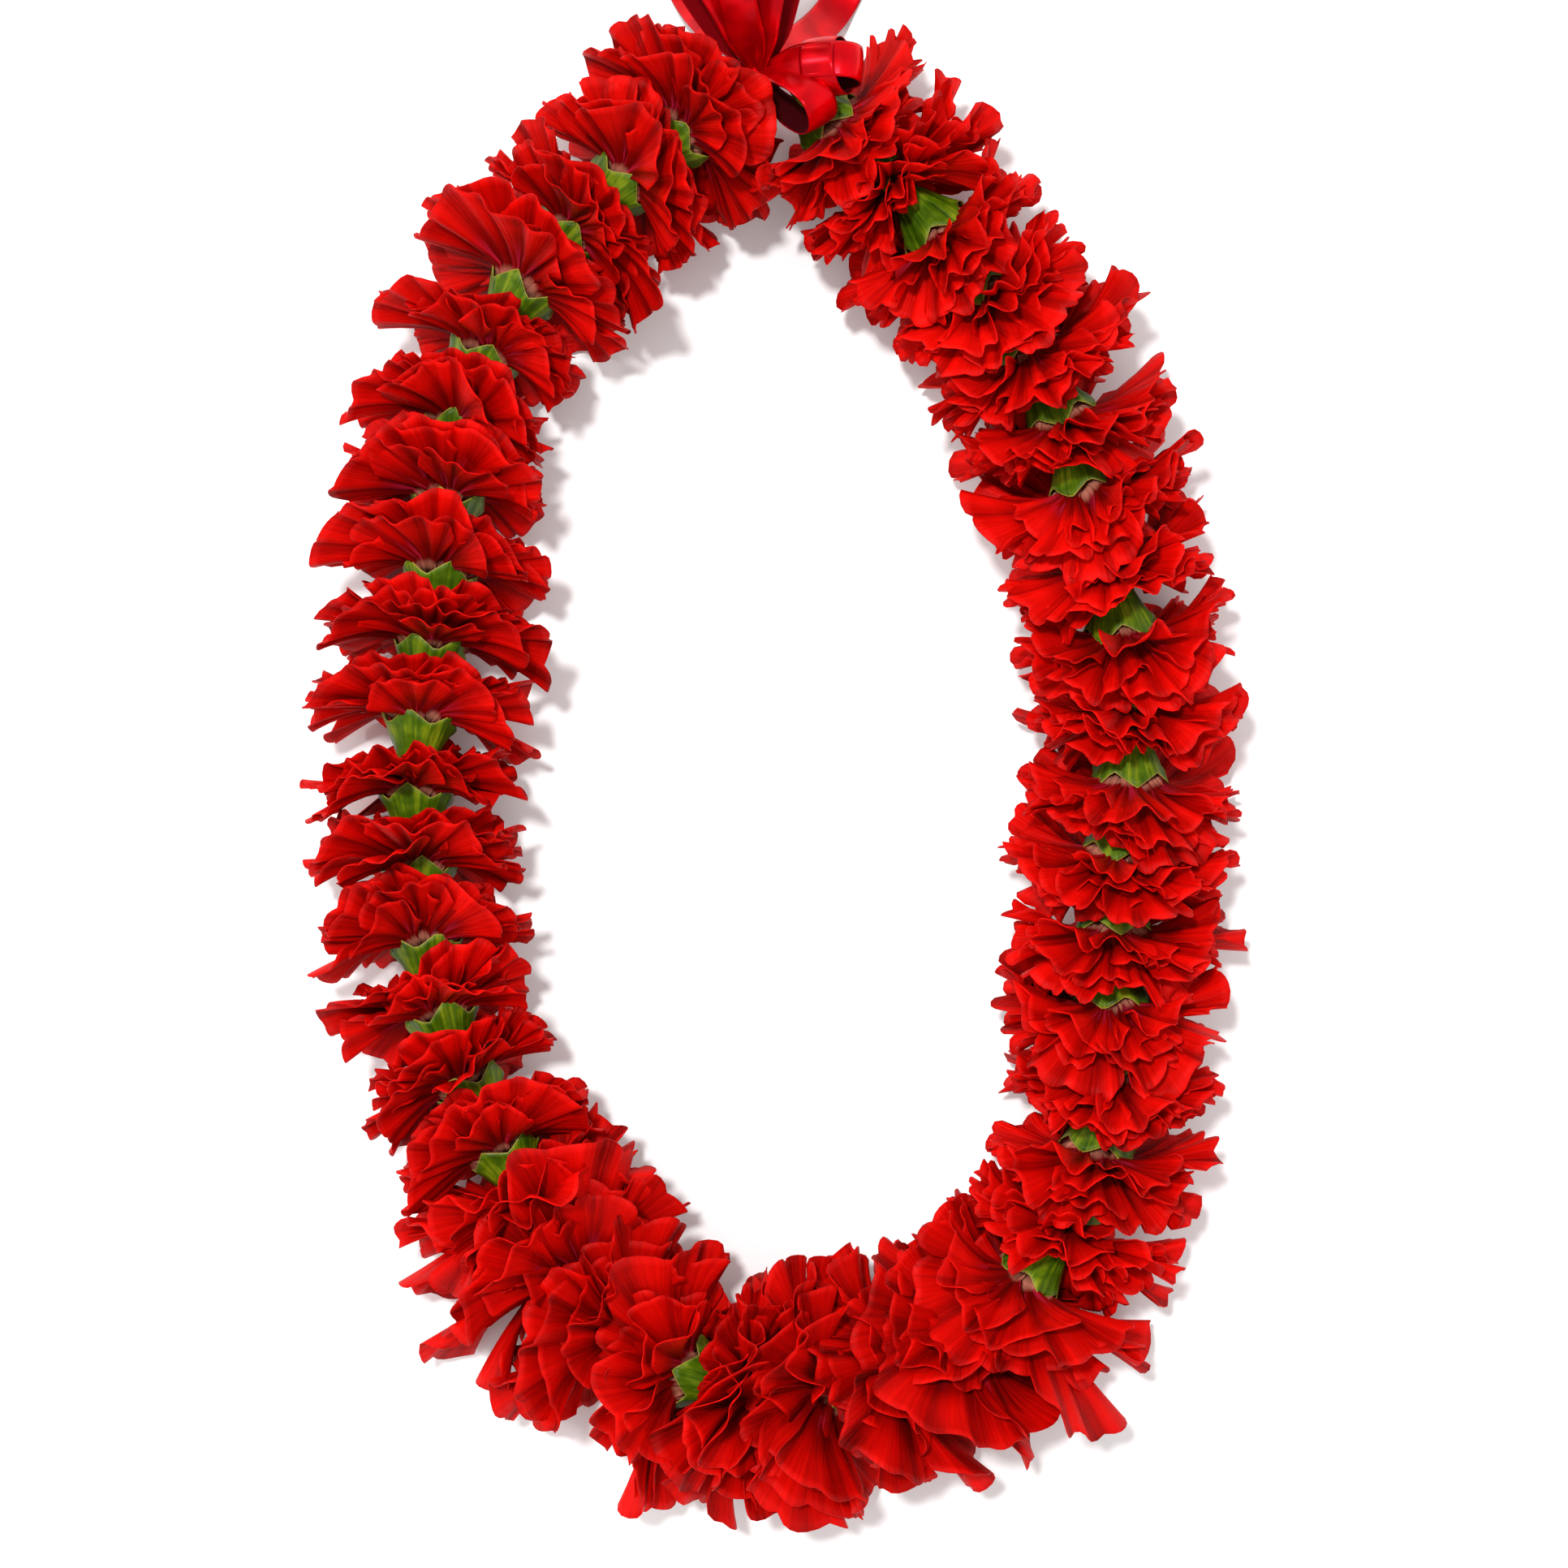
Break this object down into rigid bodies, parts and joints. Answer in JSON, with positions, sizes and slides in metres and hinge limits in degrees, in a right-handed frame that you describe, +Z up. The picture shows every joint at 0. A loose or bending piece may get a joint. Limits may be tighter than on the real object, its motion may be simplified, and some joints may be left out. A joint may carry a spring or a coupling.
{
  "type": "fresh flower lei",
  "caption": "Garland of red carnations strung face to calyx in a tall closed loop, lying flat, with a red satin ribbon bow tied over the string's knot.",
  "frame": {"origin": "middle of the lei's box at the surface it lies on", "axes": "+Z up from the surface, +Y towards the bow, +X to the right seen from above"},
  "size_m": [0.2908, 0.5108, 0.0782],
  "materials": {
    "petal": "matte",
    "calyx": "satin",
    "string": "matte",
    "ribbon": "satin"
  },
  "bodies": {
    "root": {"calyx_01": "calyx", "calyx_02": "calyx", "calyx_03": "calyx", "calyx_04": "calyx", "calyx_05": "calyx", "calyx_06": "calyx", "calyx_07": "calyx", "calyx_08": "calyx", "calyx_09": "calyx", "calyx_10": "calyx", "calyx_11": "calyx", "calyx_12": "calyx", "calyx_13": "calyx", "calyx_14": "calyx", "calyx_15": "calyx", "calyx_16": "calyx", "calyx_17": "calyx", "calyx_18": "calyx", "calyx_19": "calyx", "calyx_20": "calyx", "calyx_21": "calyx", "calyx_22": "calyx", "calyx_23": "calyx", "calyx_24": "calyx", "calyx_25": "calyx", "calyx_26": "calyx", "calyx_27": "calyx", "calyx_28": "calyx", "calyx_29": "calyx", "calyx_30": "calyx", "calyx_31": "calyx", "calyx_32": "calyx", "calyx_33": "calyx", "calyx_34": "calyx", "calyx_35": "calyx", "calyx_36": "calyx", "calyx_37": "calyx", "calyx_38": "calyx", "calyx_39": "calyx", "calyx_40": "calyx", "calyx_41": "calyx", "calyx_42": "calyx", "petals_01_03": "petal", "petals_04_06": "petal", "petals_07_09": "petal", "petals_10_12": "petal", "petals_13_15": "petal", "petals_16_18": "petal", "petals_19_21": "petal", "petals_22_24": "petal", "petals_25_27": "petal", "petals_28_30": "petal", "petals_31_33": "petal", "petals_34_36": "petal", "petals_37_39": "petal", "petals_40_42": "petal", "string": "string", "bow": "ribbon"}
  },
  "joints": []
}
